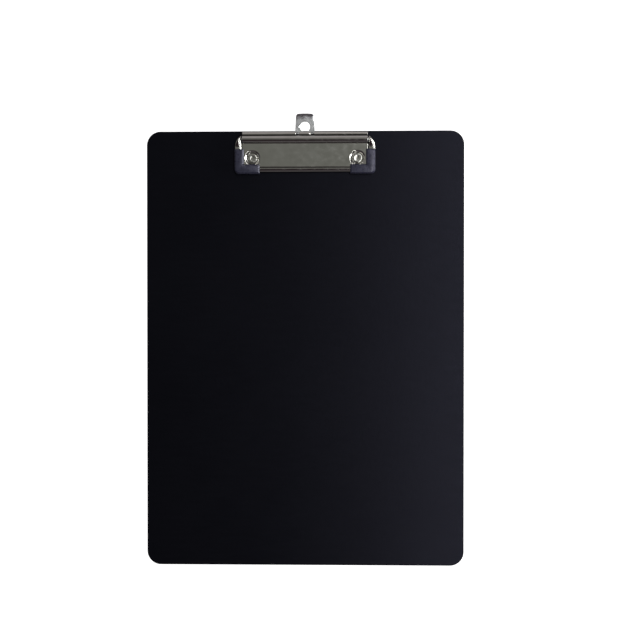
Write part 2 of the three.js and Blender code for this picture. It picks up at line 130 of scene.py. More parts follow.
# Hanging tab
TAB_ROOT_HALF_WIDTH = 7.05 * MM
TAB_TIP_HALF_WIDTH = 6.35 * MM
TAB_NECK_HALF_WIDTH = 4.1 * MM
TAB_FOOT_BACK_Y = TOP_EDGE - 4.4 * MM
TAB_NOTCH_FRONT_Y = TOP_EDGE - 2.65 * MM
TAB_NOTCH_BACK_Y = TOP_EDGE - 0.75 * MM
TAB_NOTCH_STEP = 0.1 * MM
TAB_FILLET = 0.35 * MM
TAB_CORNER_RADIUS = 1.5 * MM
TAB_ARCH = 0.35 * MM
TAB_HOLE_RADIUS = 3.75 * MM
TAB_HOLE_Y = TOP_EDGE + 2.8 * MM
TAB_CURL_RADIUS = 7 * MM
TAB_CURL_ANGLE = math.radians(40)
TAB_PATCH_HALF = TAB_HOLE_RADIUS + 0.9 * MM
TAB_PATCH_STEPS = 16
TAB_PATCH_GAP = 0.05 * MM
TAB_MIDDLE_SHARE = 0.8
TAB_RIM_SHARE = 0.9

# Jaw frame
JAW_SHEET = 0.8 * MM
EAR_INNER_X = 46 * MM
NECK_X = 49.7 * MM
BAR_BACK_Y = jaw_low.y + 3.2 * MM
BAR_ROLL_RADIUS = 2.8 * MM
BAR_EDGE_RADIUS = 0.12 * MM
ARM_ROUND_RADIUS = 1.1 * MM
ARM_TOP = FACE_Z + 3.4 * MM
BAR_OPEN_FOOT = ARM_TOP - JAW_SHEET - 0.05 * MM
JAW_CORNER_RADIUS = 2.2 * MM
JAW_INNER_TURN = 1 * MM
JAW_CORNER_CENTRE = Vector((EAR_INNER_X - JAW_INNER_TURN, BAR_BACK_Y + JAW_INNER_TURN))
SHOULDER_END_Y = TOP_EDGE - 10.9 * MM
SHOULDER_STEP_Y = TOP_EDGE - 13.15 * MM
SHOULDER_STEP_LENGTH = 0.25 * MM
SHOULDER_PULL_OUT = 1.4 * MM
SHOULDER_PULL_FORWARD = 0.9 * MM
SHOULDER_PULL_BACK = 3.7 * MM
SHOULDER_EXTRA_ROUND = 1.0 * MM
SHOULDER_ROUND_LENGTH = 6 * MM
SLOPE_END_Y = TOP_EDGE - 12.2 * MM
EAR_RADIUS = jaw_high.z - HINGE_Z
EAR_LIFT_LENGTH = 2 * MM
EAR_LEAST_WIDTH = 0.3 * MM
EAR_BACK_GAP = 0.02 * MM
EAR_HOLE_REACH = 0.5 * MM
EAR_HOLE_STEPS = 32
HOLE_GAP = 0.1 * MM

# The least that a section of the jaw's channel may shrink to
LEAST_SPAN = 0.02 * MM
LEAST_WALL = 0.01 * MM
LEAST_FLAT = 0.002 * MM
LEAST_ROUND = 0.005 * MM

# Corner grips
GRIP_INNER_X = 44.1 * MM
GRIP_LEG_WIDTH = 6.7 * MM
GRIP_CORNER_RADIUS = 3.3 * MM
GRIP_SMALL_RADIUS = 0.5 * MM
GRIP_LEAST_RADIUS = 0.05 * MM
GRIP_BEVEL = 1.1 * MM
GRIP_ROUND_EDGE = 0.2 * MM
GRIP_FOOT_EDGE = 0.1 * MM
GRIP_SHOULDER_BEND = (0.06 * MM, 0.1 * MM)
GRIP_BROW_BEND = (0.15 * MM, 0.08 * MM)
GRIP_WALL = 0.9 * MM
GRIP_SEAT_GAP = 0.2 * MM
GRIP_HOLLOW_REACH = 2 * MM
GRIP_HOLLOW_DEPTH = 1 * MM

# Torsion springs
WIRE_RADIUS = 0.4 * MM
COIL_RADIUS = HINGE_Z - spring_low.z - WIRE_RADIUS
COIL_LENGTH = 5.1 * MM
COIL_TURNS = 4.75
COIL_STEPS_PER_TURN = 28

# Plating colours
NICKEL_DARK = (0.60, 0.595, 0.56)
NICKEL_LIGHT = (0.68, 0.675, 0.645)
ZINC_DARK = (0.66, 0.67, 0.69)
ZINC_LIGHT = (0.76, 0.77, 0.79)

# Painted shade and a painted highlight on the base plate: where each lies, how far it reaches, and what it
# scales the plating's colour by
# Painted shade where the sheet comes down near the board
FOOT_SHADE_FROM_Z = SEAT_Z + 0.5 * MM
FOOT_SHADE_TO_Z = SEAT_Z + 1.1 * MM
FOOT_SHADE_TONE = 0.2
CREASE_Y = HINGE_Y + BARREL_RADIUS + 0.15 * MM
# Painted shade in the crease between the bead and the barrel
CREASE_SHADE_FROM = 0.2 * MM
CREASE_SHADE_TO = 0.65 * MM
CREASE_SHADE_TONE = 0.04
# Painted highlight along the rear bead's crest
BEAD_HIGHLIGHT_Y = BEAD_CREST_Y + 0.55 * MM
BEAD_HIGHLIGHT_FROM = 0.35 * MM
BEAD_HIGHLIGHT_TO = 0.65 * MM
BEAD_HIGHLIGHT_TONE = 1.42

# Room, floor and camera. Below the horizon the room dims to HORIZON_TONE.
HORIZON_FROM = -0.3
HORIZON_TO = -0.1
HORIZON_TONE = 0.1
FLOOR_REACH = 30.0
FLOOR_Z = -0.2 * MM
CAMERA_SENSOR = 36
CAMERA_LENS = 85.1
CAMERA_SHIFT = (0.0232, 0.0444)
CAMERA_DISTANCE = 1.1
CAMERA_TILT = (math.radians(-0.85), math.radians(1.98), 0)


# ---------------------------------------------------------------- node helpers, for a material or the world

def new_material(name):
    """A material with its shader, and the piece's own coordinates to hang detail on."""
    material = bpy.data.materials.new(name)
    material.use_nodes = True
    nodes = material.node_tree.nodes
    shader = nodes["Principled BSDF"]
    position = nodes.new("ShaderNodeTexCoord").outputs["Object"]
    return material, shader, position


def link(owner, source, target):
    owner.node_tree.links.new(source, target)


def add_noise(material, position, scale, detail=2.0, stretch=(1, 1, 1)):
    """Noise in the coordinates given, squeezed along an axis where stretch is over 1."""
    nodes = material.node_tree.nodes
    mapping = nodes.new("ShaderNodeMapping")
    mapping.inputs["Scale"].default_value = stretch
    link(material, position, mapping.inputs["Vector"])
    texture = nodes.new("ShaderNodeTexNoise")
    texture.inputs["Scale"].default_value = scale
    texture.inputs["Detail"].default_value = detail
    link(material, mapping.outputs["Vector"], texture.inputs["Vector"])
    return texture.outputs["Fac"]


def add_range(owner, value, low_in, high_in, low_out, high_out):
    """Maps a value from one range to another, held at the ends."""
    node = owner.node_tree.nodes.new("ShaderNodeMapRange")
    for socket, number in zip(node.inputs[1:5], (low_in, high_in, low_out, high_out)):
        socket.default_value = number
    link(owner, value, node.inputs["Value"])
    return node.outputs["Result"]


def add_ramp(owner, value, stops):
    """Turns a value into a colour, by stops of (place, colour)."""
    ramp = owner.node_tree.nodes.new("ShaderNodeValToRGB")
    elements = ramp.color_ramp.elements
    while len(elements) < len(stops):
        elements.new(0.5)
    for element, (place, colour) in zip(elements, stops):
        element.position = place
        element.color = (*colour, 1)
    link(owner, value, ramp.inputs["Fac"])
    return ramp.outputs["Color"]


def multiply_colour(material, colour, factor):
    """Scales a colour by a number that varies over the surface."""
    scale = material.node_tree.nodes.new("ShaderNodeVectorMath")
    scale.operation = "SCALE"
    link(material, colour, scale.inputs[0])
    link(material, factor, scale.inputs["Scale"])
    return scale.outputs["Vector"]


def add_bump(material, heights, shader):
    """Chains bumps, each (height output, strength, distance), into the shader's normal."""
    normal = None
    for height, strength, distance in heights:
        bump = material.node_tree.nodes.new("ShaderNodeBump")
        bump.inputs["Strength"].default_value = strength
        bump.inputs["Distance"].default_value = distance
        link(material, height, bump.inputs["Height"])
        if normal:
            link(material, normal, bump.inputs["Normal"])
        normal = bump.outputs["Normal"]
    link(material, normal, shader.inputs["Normal"])


# ---------------------------------------------------------------- materials

def make_board_plastic():
    """Fine-grained matte black plastic, bluish in its sheen, with a cloudy tone and light scuffs."""
    material, shader, position = new_material("board_plastic")
    cloud = add_noise(material, position, 14, detail=3)
    colour = add_ramp(material, cloud, [(0.3, (0.0034, 0.0036, 0.0052)), (0.7, (0.0045, 0.0047, 0.0066))])
    link(material, colour, shader.inputs["Base Color"])
    grain = add_noise(material, position, 1500, detail=3)
    coarse = add_noise(material, position, 520, detail=2)
    scuff = add_noise(material, position, 60, detail=4, stretch=(1, 6, 1))
    roughness = add_range(material, scuff, 0.35, 0.75, 0.28, 0.32)
    link(material, roughness, shader.inputs["Roughness"])
    shader.inputs["Specular IOR Level"].default_value = 0.1
    shader.inputs["Specular Tint"].default_value = (0.7, 0.71, 1, 1)
    add_bump(material, [(coarse, 0.25, 0.12 * MM), (grain, 0.45, 0.08 * MM)], shader)
    return material


def make_plated_steel(name, low_roughness, high_roughness, dark, light):
    """Nickel plate on rolled sheet: faint rolling lines, haze and a few smudges."""
    material, shader, position = new_material(name)
    haze = add_noise(material, position, 120, detail=4)
    colour = add_ramp(material, haze, [(0.3, dark), (0.75, light)])
    link(material, colour, shader.inputs["Base Color"])
    shader.inputs["Metallic"].default_value = 1
    smudge = add_noise(material, position, 260, detail=5)
    roughness = add_range(material, smudge, 0.35, 0.7, low_roughness, high_roughness)
    link(material, roughness, shader.inputs["Roughness"])
    rolling = add_noise(material, position, 900, detail=2, stretch=(0.03, 1, 1))
    orange_peel = add_noise(material, position, 260, detail=1)
    add_bump(material, [(orange_peel, 0.05, 0.05 * MM), (rolling, 0.05, 0.02 * MM)], shader)
    return material, shader, position


def add_distance(material, value, place):
    """How far a coordinate is from a place along its axis."""
    nodes = material.node_tree.nodes
    offset = nodes.new("ShaderNodeMath")
    offset.operation = "SUBTRACT"
    offset.inputs[1].default_value = place
    link(material, value, offset.inputs[0])
    size = nodes.new("ShaderNodeMath")
    size.operation = "ABSOLUTE"
    link(material, offset.outputs["Value"], size.inputs[0])
    return size.outputs["Value"]


def make_plate_steel():
    """The base plate's nickel, with painted shade near the board and in the crease behind the barrel, and a
    painted highlight along the rear bead.
    """
    material, shader, position = make_plated_steel("plate_steel", 0.07, 0.14, NICKEL_DARK, NICKEL_LIGHT)
    colour = shader.inputs["Base Color"].links[0].from_socket
    split = material.node_tree.nodes.new("ShaderNodeSeparateXYZ")
    link(material, position, split.inputs["Vector"])
    height, along = split.outputs["Z"], split.outputs["Y"]
    # Painted shade: the plating is darker where the sheet comes down near the board.
    painted_foot_shade = add_range(material, height, FOOT_SHADE_FROM_Z, FOOT_SHADE_TO_Z, FOOT_SHADE_TONE, 1)
    # Painted shade: a nearly black line in the crease between the bead and the barrel.
    from_crease = add_distance(material, along, CREASE_Y)
    painted_crease_shade = add_range(material, from_crease, CREASE_SHADE_FROM, CREASE_SHADE_TO, CREASE_SHADE_TONE, 1)
    # Painted highlight: the plating is lighter along the rear bead's crest.
    from_bead_highlight = add_distance(material, along, BEAD_HIGHLIGHT_Y)
    painted_bead_highlight = add_range(material, from_bead_highlight, BEAD_HIGHLIGHT_FROM, BEAD_HIGHLIGHT_TO, BEAD_HIGHLIGHT_TONE, 1)
    for factor in (painted_foot_shade, painted_crease_shade, painted_bead_highlight):
        colour = multiply_colour(material, colour, factor)
    link(material, colour, shader.inputs["Base Color"])
    return material


def make_grip_plastic():
    """Semi-gloss moulded black plastic with a fine texture, a little blue."""
    material, shader, position = new_material("grip_plastic")
    mottle = add_noise(material, position, 300, detail=3)
    colour = add_ramp(material, mottle, [(0.3, (0.030, 0.031, 0.053)), (0.7, (0.042, 0.043, 0.073))])
    link(material, colour, shader.inputs["Base Color"])
    wear = add_noise(material, position, 420, detail=4)
    link(material, add_range(material, wear, 0.3, 0.7, 0.24, 0.34), shader.inputs["Roughness"])
    shader.inputs["Specular Tint"].default_value = (0.86, 0.86, 1, 1)
    grain = add_noise(material, position, 2600, detail=2)
    add_bump(material, [(grain, 0.15, 0.04 * MM)], shader)
    return material


def make_spring_steel():
    """Drawn steel wire and rod: greyer than the plating, with fine drawing lines."""
    material, shader, position = new_material("spring_steel")
    tone = add_noise(material, position, 500, detail=3)
    colour = add_ramp(material, tone, [(0.3, (0.30, 0.30, 0.31)), (0.7, (0.44, 0.44, 0.45))])
    link(material, colour, shader.inputs["Base Color"])
    shader.inputs["Metallic"].default_value = 1
    link(material, add_range(material, tone, 0.3, 0.7, 0.24, 0.38), shader.inputs["Roughness"])
    lines = add_noise(material, position, 4000, detail=2, stretch=(0.05, 1, 1))
    add_bump(material, [(lines, 0.12, 0.02 * MM)], shader)
    return material


def make_floor_paint():
    """Plain white sweep that stays shadowless round the object."""
    material, shader, position = new_material("floor_paint")
    tone = add_noise(material, position, 3, detail=2)
    colour = add_ramp(material, tone, [(0.3, (0.86, 0.86, 0.86)), (0.7, (0.89, 0.89, 0.89))])
    link(material, colour, shader.inputs["Base Color"])
    shader.inputs["Roughness"].default_value = 0.8
    shader.inputs["Emission Color"].default_value = (1, 1, 1, 1)
    shader.inputs["Emission Strength"].default_value = 1.0
    return material


# ---------------------------------------------------------------- mesh helpers

def add_object(name, data):
    made = bpy.data.objects.new(name, data)
    bpy.context.scene.collection.objects.link(made)
    return made


def piece_from(name, vertices, faces, material):
    """A mesh piece with its doubled vertices merged and its faces turned outwards."""
    mesh = bpy.data.meshes.new(name)
    mesh.from_pydata([tuple(v) for v in vertices], [], faces)
    made = bmesh.new()
    made.from_mesh(mesh)
    bmesh.ops.remove_doubles(made, verts=made.verts, dist=0.001 * MM)
    bmesh.ops.recalc_face_normals(made, faces=made.faces)
    made.to_mesh(mesh)
    made.free()
    mesh.materials.append(material)
    return add_object(name, mesh)


def apply_modifiers(piece):
    """Keeps the modifiers' result as the piece's own mesh."""
    graph = bpy.context.evaluated_depsgraph_get()
    mesh = bpy.data.meshes.new_from_object(piece.evaluated_get(graph))
    piece.modifiers.clear()
    piece.data = mesh


def soften_edges(piece):
    """Rounds the sharp edges a little and keeps the flats flat in the shading."""
    piece.data.shade_smooth()
    bevel = piece.modifiers.new("bevel", "BEVEL")
    bevel.width = EDGE_BEVEL
    bevel.segments = 2
    bevel.limit_method = "ANGLE"
    bevel.angle_limit = math.radians(40)
    bevel.use_clamp_overlap = True
    weighted = piece.modifiers.new("normals", "WEIGHTED_NORMAL")
    weighted.weight = 60
    apply_modifiers(piece)


def smooth_by_angle(piece, angle=35):
    """Smooth shading, except across edges sharper than an angle."""
    piece.data.shade_smooth()
    piece.data.set_sharp_from_angle(angle=math.radians(angle))


def cut_away(piece, cutter):
    """Cuts a closed solid out of a piece, then removes the solid."""
    boolean = piece.modifiers.new("cut", "BOOLEAN")
    boolean.operation = "DIFFERENCE"
    boolean.solver = "EXACT"
    boolean.object = cutter
    apply_modifiers(piece)
    bpy.data.objects.remove(cutter)


def settle(piece, body, node):
    """Rides a finished piece on its body in place of its CAD node."""
    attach(piece, body)
    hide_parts(node)
    return piece


def ring_faces(count, low, high):
    """Quads between two closed rings of count vertices that start at low and high."""
    return [
        (low + i, low + (i + 1) % count, high + (i + 1) % count, high + i)
        for i in range(count)
    ]


def loft_closed_rings(rings):
    """Vertices and faces of a closed skin over rings, in order, with a cap on each end."""
    count = len(rings[0])
    vertices = [point for ring in rings for point in ring]
    faces = []
    for index in range(len(rings) - 1):
        faces += ring_faces(count, index * count, (index + 1) * count)
    faces.append(tuple(reversed(range(count))))
    faces.append(tuple(range((len(rings) - 1) * count, len(rings) * count)))
    return vertices, faces


def ellipse_arc(centre, reach, rise, start, end, steps):
    """Points (a, b) on an ellipse, both ends included, angles in degrees."""
    points = []
    for step in range(steps + 1):
        angle = math.radians(start + (end - start) * step / steps)
        points.append((centre[0] + reach * math.cos(angle), centre[1] + rise * math.sin(angle)))
    return points


def arc(centre, radius, start, end, steps):
    return ellipse_arc(centre, radius, radius, start, end, steps)


def circle(centre, radius, steps):
    """Points round a whole circle, the first not repeated."""
    return arc(centre, radius, 0, 360 - 360 / steps, steps - 1)


def spread(start, end, steps):
    """Evenly spaced numbers from start to end, both included."""
    return [start + (end - start) * step / steps for step in range(steps + 1)]


def mix(low, high, share):
    return low + (high - low) * share


def clamp(share):
    return max(0, min(1, share))


def grid_faces(row_count, width, is_open):
    """Quads between neighbouring vertices of a grid, without the cells (row, column) that are open."""
    faces = []
    for row in range(row_count - 1):
        for column in range(width - 1):
            if not is_open(row, column):
                corner = row * width + column
                faces.append((corner, corner + 1, corner + width + 1, corner + width))
    return faces


def square_border(first_row, first_column, width, steps):
    """Grid vertices round a square block of cells, in order, starting at its first corner."""
    last_row = first_row + steps
    last_column = first_column + steps
    cells = [(first_row, c) for c in range(first_column, last_column)]
    cells += [(r, last_column) for r in range(first_row, last_row)]
    cells += [(last_row, c) for c in range(last_column, first_column, -1)]
    cells += [(r, first_column) for r in range(last_row, first_row, -1)]
    return [r * width + c for r, c in cells]


def add_ring(vertices, faces, border, previous, centre, radius, height=None):
    """Joins the previous run of vertices to a round ring, placed along the directions of a border.
    The ring lies at one height, or where none is given at the border's own heights."""
    ring = []
    for index in border:
        x, y, z = vertices[index]
        offset = Vector((x - centre[0], y - centre[1])).normalized() * radius
        ring.append(len(vertices))
        vertices.append((centre[0] + offset.x, centre[1] + offset.y, z if height is None else height))
    for i in range(len(border)):
        after = (i + 1) % len(border)
        faces.append((previous[i], previous[after], ring[after], ring[i]))
    return ring


def thicken_sheet(piece, even_offset):
    """Gives an open surface the sheet's thickness below it, and softens its edges."""
    face_upwards(piece)
    solid = piece.modifiers.new("sheet", "SOLIDIFY")
    solid.thickness = SHEET
    solid.offset = -1
    solid.use_even_offset = even_offset
    apply_modifiers(piece)
    soften_edges(piece)


def face_upwards(piece):
    """Turns an open sheet so that its broadest stretch faces up."""
    total = sum(face.normal.z * face.area for face in piece.data.polygons)
    if total < 0:
        piece.data.flip_normals()


def lathe(name, profile, centre, steps, material):
    """Turns a profile of (radius, z) about a vertical axis. It starts and ends on the axis."""
    vertices = [Vector((centre.x, centre.y, profile[0][1]))]
    faces = []
    rings = profile[1:-1]
    for radius, z in rings:
        for step in range(steps):
            angle = 2 * math.pi * step / steps
            x = centre.x + radius * math.cos(angle)
            vertices.append(Vector((x, centre.y + radius * math.sin(angle), z)))
    vertices.append(Vector((centre.x, centre.y, profile[-1][1])))
    last = len(vertices) - 1
    for index in range(len(rings) - 1):
        faces += ring_faces(steps, 1 + index * steps, 1 + (index + 1) * steps)
    end = 1 + (len(rings) - 1) * steps
    for step in range(steps):
        after = (step + 1) % steps
        faces.append((0, 1 + after, 1 + step))
        faces.append((last, end + step, end + after))
    return piece_from(name, vertices, faces, material)


# ---------------------------------------------------------------- board

def rounded_rectangle(half_x, half_y, radius, steps):
    points = []
    for sign_x, sign_y, start in ((1, 1, 0), (-1, 1, 90), (-1, -1, 180), (1, -1, 270)):
        centre = (sign_x * (half_x - radius), sign_y * (half_y - radius))
        points += arc(centre, radius, start, start + 90, steps)
    return points


def make_board(material):
    """A sheet with rounded corners and edges, drilled for the rivets and counterbored at the back."""
    edge = BOARD_EDGE_RADIUS
    rings = []
    for start, end, height in ((-90, 0, edge), (0, 90, FACE_Z - edge)):
        for angle in spread(start, end, 5):
            inset = edge * (1 - math.cos(math.radians(angle)))
            z = height + edge * math.sin(math.radians(angle))
            half_x, half_y = board_high.x - inset, board_high.y - inset
            shape = rounded_rectangle(half_x, half_y, BOARD_CORNER_RADIUS - inset, 16)
            rings.append([(x, y, z) for x, y in shape])
    piece = piece_from("board_sheet", *loft_closed_rings(rings), material)
    flange_seat = rivet_high.x - RIVET_X + COUNTERBORE_GAP
    for side in (-1, 1):
        for radius, depth in ((flange_seat, COUNTERBORE_DEPTH), (RIVET_HOLE_RADIUS, DRILL_TOP)):
            ring = circle((side * RIVET_X, RIVET_Y), radius, DRILL_STEPS)
            walls = [[(x, y, z) for x, y in ring] for z in (DRILL_BOTTOM, depth)]
            cut_away(piece, piece_from("cutter", *loft_closed_rings(walls), material))
    weighted = piece.modifiers.new("normals", "WEIGHTED_NORMAL")
    weighted.keep_sharp = True
    smooth_by_angle(piece)
    apply_modifiers(piece)
    return settle(piece, BASE, "board")


# ---------------------------------------------------------------- base plate

def plate_profile():
    """The plate's top surface from back to front as (y, z), and the first row of the dimple patches."""
    crest = (BEAD_CREST_Y, SEAT_Z)
    valley = 180 - math.degrees(math.asin(SHEET / BEAD_RISE))
    profile = ellipse_arc(crest, plate_high.y - BEAD_CREST_Y, BEAD_RISE, 0, 90, 16)
    profile += ellipse_arc(crest, BEAD_FRONT_REACH, BEAD_RISE, 90, valley, 10)[1:]
    profile += [(HINGE_Y + BARREL_RADIUS, SEAT_Z + SHEET)]
    rise = PLATEAU_Z + BARREL_FOOT_RADIUS - HINGE_Z
    run = math.sqrt((BARREL_RADIUS + BARREL_FOOT_RADIUS) ** 2 - rise**2)
    foot_angle = 180 - math.degrees(math.atan2(rise, run))
    profile += arc((HINGE_Y, HINGE_Z), BARREL_RADIUS, 0, foot_angle, 36)
    foot = (HINGE_Y - run, PLATEAU_Z + BARREL_FOOT_RADIUS)
    profile += arc(foot, BARREL_FOOT_RADIUS, foot_angle - 180, -90, 6)[1:]
    patch_top = RIVET_Y + DIMPLE_PATCH_HALF
    profile += [(y, PLATEAU_Z) for y in spread(foot[0], patch_top, 4)[1:]]
    patch_row = len(profile) - 1
    patch_bottom = RIVET_Y - DIMPLE_PATCH_HALF
    profile += [(y, PLATEAU_Z) for y in spread(patch_top, patch_bottom, DIMPLE_PATCH_STEPS)[1:]]
    bend = (plate_low.y + LIP_BEND_RADIUS, PLATEAU_Z - LIP_BEND_RADIUS)
    profile += arc(bend, LIP_BEND_RADIUS, 90, 180, 6)
    profile += [(plate_low.y, z) for z in spread(bend[1], SEAT_Z, 2)[1:]]
    return profile, patch_row


def plate_columns():
    """The base plate's columns of vertices, as x from left to right."""
    inner = RIVET_X - DIMPLE_PATCH_HALF
    outer = RIVET_X + DIMPLE_PATCH_HALF
    right = spread(0, WINDOW_INNER_X, 2) + spread(WINDOW_INNER_X, WINDOW_OUTER_X, 2)[1:]
    right += [SLOT_HALF_WIDTH] + spread(SLOT_HALF_WIDTH + SLOT_SLOPE, inner, 12)
    right += spread(inner, outer, DIMPLE_PATCH_STEPS)[1:] + [plate_high.x - 2 * EDGE_BEVEL, plate_high.x]
    return [-x for x in reversed(right[1:])] + right


def dimple_profile():
    """(radius, z) from outside the rim to the floor: two tangent arcs with a slope between."""
    depth = PLATEAU_Z - (SEAT_Z + SHEET)
    slope = math.degrees(math.atan2(depth, DIMPLE_RIM_RADIUS - DIMPLE_FLOOR_RADIUS))
    bend = DIMPLE_BEND_RADIUS
    reach = bend * math.tan(math.radians(slope / 2))
    rim = arc((DIMPLE_RIM_RADIUS + reach, PLATEAU_Z - bend), bend, 90, 90 + slope, 5)
    floor = arc((DIMPLE_FLOOR_RADIUS - reach, PLATEAU_Z - depth + bend), bend, slope - 90, -90, 5)
    return rim + floor


def add_dimple(vertices, faces, border, centre_x):
    """Fills a square gap whose border vertices are given in order with round rings down to the hole."""
    rings = dimple_profile()
    rings += [(radius, SEAT_Z + SHEET) for radius in spread(rings[-1][0], RIVET_HOLE_RADIUS, 3)[1:]]
    previous = border
    for radius, z in rings:
        previous = add_ring(vertices, faces, border, previous, (centre_x, RIVET_Y), radius, z)


def in_tab_passage(x, y, z):
    """True where the plate is cut away for the hanging tab, or for a window beside its neck."""
    x = abs(x)
    under = x < SLOT_HALF_WIDTH and y > HINGE_Y and z < TAB_WAY_Z
    window = WINDOW_INNER_X < x < WINDOW_OUTER_X and WINDOW_FRONT_Y < y < WINDOW_BACK_Y
    return under or window


def clear_tab_way(piece):
    """Lifts what hangs under the bead and the barrel clear of the tab that slides below them."""
    roof = tab_low.z + SHEET + TAB_CLEARANCE
    for vertex in piece.data.vertices:
        if abs(vertex.co.x) < SLOT_HALF_WIDTH + TAB_CLEARANCE and vertex.co.y > HINGE_Y:
            vertex.co.z = max(vertex.co.z, roof)


def make_base_plate(material):
    """One pressed sheet: rolled bead, barrel, plateau with two dimples, and front lip."""
    profile, patch_row = plate_profile()
    columns = plate_columns()
    width = len(columns)
    vertices = [(x, y, z) for y, z in profile for x in columns]
    patch_columns = [
        min(range(width), key=lambda c: abs(columns[c] - (side * RIVET_X - DIMPLE_PATCH_HALF)))
        for side in (-1, 1)
    ]

    def is_open(row, column):
        in_rows = patch_row <= row < patch_row + DIMPLE_PATCH_STEPS
        in_patch = in_rows and any(p <= column < p + DIMPLE_PATCH_STEPS for p in patch_columns)
        x = (columns[column] + columns[column + 1]) / 2
        y = (profile[row][0] + profile[row + 1][0]) / 2
        z = (profile[row][1] + profile[row + 1][1]) / 2
        return in_patch or in_tab_passage(x, y, z)

    faces = grid_faces(len(profile), width, is_open)
    for side, first in zip((-1, 1), patch_columns):
        border = square_border(patch_row, first, width, DIMPLE_PATCH_STEPS)
        add_dimple(vertices, faces, border, side * RIVET_X)
    piece = piece_from("clip_base_plate", vertices, faces, material)
    thicken_sheet(piece, even_offset=True)
    clear_tab_way(piece)
    return settle(piece, BASE, "base_plate")


# ---------------------------------------------------------------- rivets

def make_rivet(side_name, side, material):
    """Tubular rivet: flange in the board's back, shank, and a rolled ring in the dimple."""
    edge = RIVET_FLANGE_ROUND
    flange = rivet_high.x - RIVET_X - edge
    flange_high = rivet_low.z + RIVET_FLANGE_THICKNESS
    ring_low = SEAT_Z + SHEET + RIVET_SEAT_GAP
    bulge = (rivet_high.z - ring_low) / 2
    throat = bulge * RIVET_THROAT_SHARE
    crown = (RIVET_RING_RADIUS + RIVET_BORE_RADIUS) / 2 - RIVET_CROWN_SHIFT
    throat_centre = (RIVET_BORE_RADIUS + throat, rivet_high.z - throat - RIVET_THROAT_DROP)
    profile = [(0, rivet_low.z), (flange, rivet_low.z)]
    profile += arc((flange, rivet_low.z + edge), edge, -60, 0, 3)
    profile += arc((flange, flange_high - edge), edge, 0, 90, 3)
    profile += [(RIVET_SHANK_RADIUS, flange_high), (RIVET_SHANK_RADIUS, ring_low)]
    profile += arc((RIVET_RING_RADIUS - bulge, ring_low + bulge), bulge, -80, 90, 10)
    profile += [(crown, rivet_high.z - RIVET_CROWN_DROP)]
    profile += arc(throat_centre, throat, 90, 180, 8)
    profile += [(RIVET_BORE_RADIUS, FACE_Z / 2), (0, FACE_Z / 2)]
    centre = Vector((side * RIVET_X, RIVET_Y, 0))
    piece = lathe(f"tubular_rivet_{side_name}", profile, centre, RIVET_STEPS, material)
    smooth_by_angle(piece, 50)
    return settle(piece, BASE, f"rivet_{side_name}")


# ---------------------------------------------------------------- hanging tab

def tab_half_width(y):
    """Half the tab's width at a distance along it, before the tip is curled."""
    tip = tab_flat_tip()
    corner = TAB_CORNER_RADIUS
    side = mix(TAB_ROOT_HALF_WIDTH, TAB_TIP_HALF_WIDTH, clamp((y - TOP_EDGE) / (tip - TOP_EDGE)))
    short = max(0, y - (tip - corner))
    return side - corner + math.sqrt(max(0, corner**2 - short**2))


def tab_curl_start():
    return tab_high.y - TAB_CURL_RADIUS * math.sin(TAB_CURL_ANGLE)


def tab_flat_tip():
    """Where the tip would be if the curl were rolled flat."""
    return tab_curl_start() + (TAB_CURL_RADIUS - SHEET) * TAB_CURL_ANGLE


def curled(x, y):
    """A point of the flat tab's top face, carried round the curl at the tip."""
    top = tab_low.z + SHEET
    start = tab_curl_start()
    if y <= start:
        return (x, y, top)
    radius = TAB_CURL_RADIUS - SHEET
    angle = (y - start) / radius
    return (x, start + radius * math.sin(angle), top + radius * (1 - math.cos(angle)))


def tab_rows():
    """(y, half width) from the foot to the start of the patch round the hole."""
    front, foot_half = tab_low.y, tab_high.x
    root, neck = TAB_ROOT_HALF_WIDTH, TAB_NECK_HALF_WIDTH
    fillet = TAB_FILLET
    rows = [(front, foot_half - fillet), (front + fillet, foot_half)]
    rows += [(y, foot_half) for y in spread(front + fillet, TAB_FOOT_BACK_Y - 2 * fillet, 6)[1:]]
    rows += [(TAB_FOOT_BACK_Y - fillet, root + fillet), (TAB_FOOT_BACK_Y, root)]
    rows += [(TAB_NOTCH_FRONT_Y - fillet, root), (TAB_NOTCH_FRONT_Y, neck + fillet)]
    rows += [(TAB_NOTCH_FRONT_Y + fillet, neck), (TAB_NOTCH_BACK_Y - fillet, neck)]
    rows += [(TAB_NOTCH_BACK_Y, neck + fillet), (TAB_NOTCH_BACK_Y + TAB_NOTCH_STEP, root)]
    return rows


def tab_x(place, in_margin, half_width):
    """A grid column's x in a row. A margin column's place is a share of the way to the tab's side."""
    half = TAB_PATCH_HALF
    if in_margin:
        share = (abs(place) - TAB_MIDDLE_SHARE) / (1 - TAB_MIDDLE_SHARE)
        x = math.copysign(mix(half, half_width, share), place)
    else:
        x = place
    if abs(x) <= half_width and half_width >= half:
        return x
    return place * half_width if in_margin else place / half * half_width * TAB_RIM_SHARE


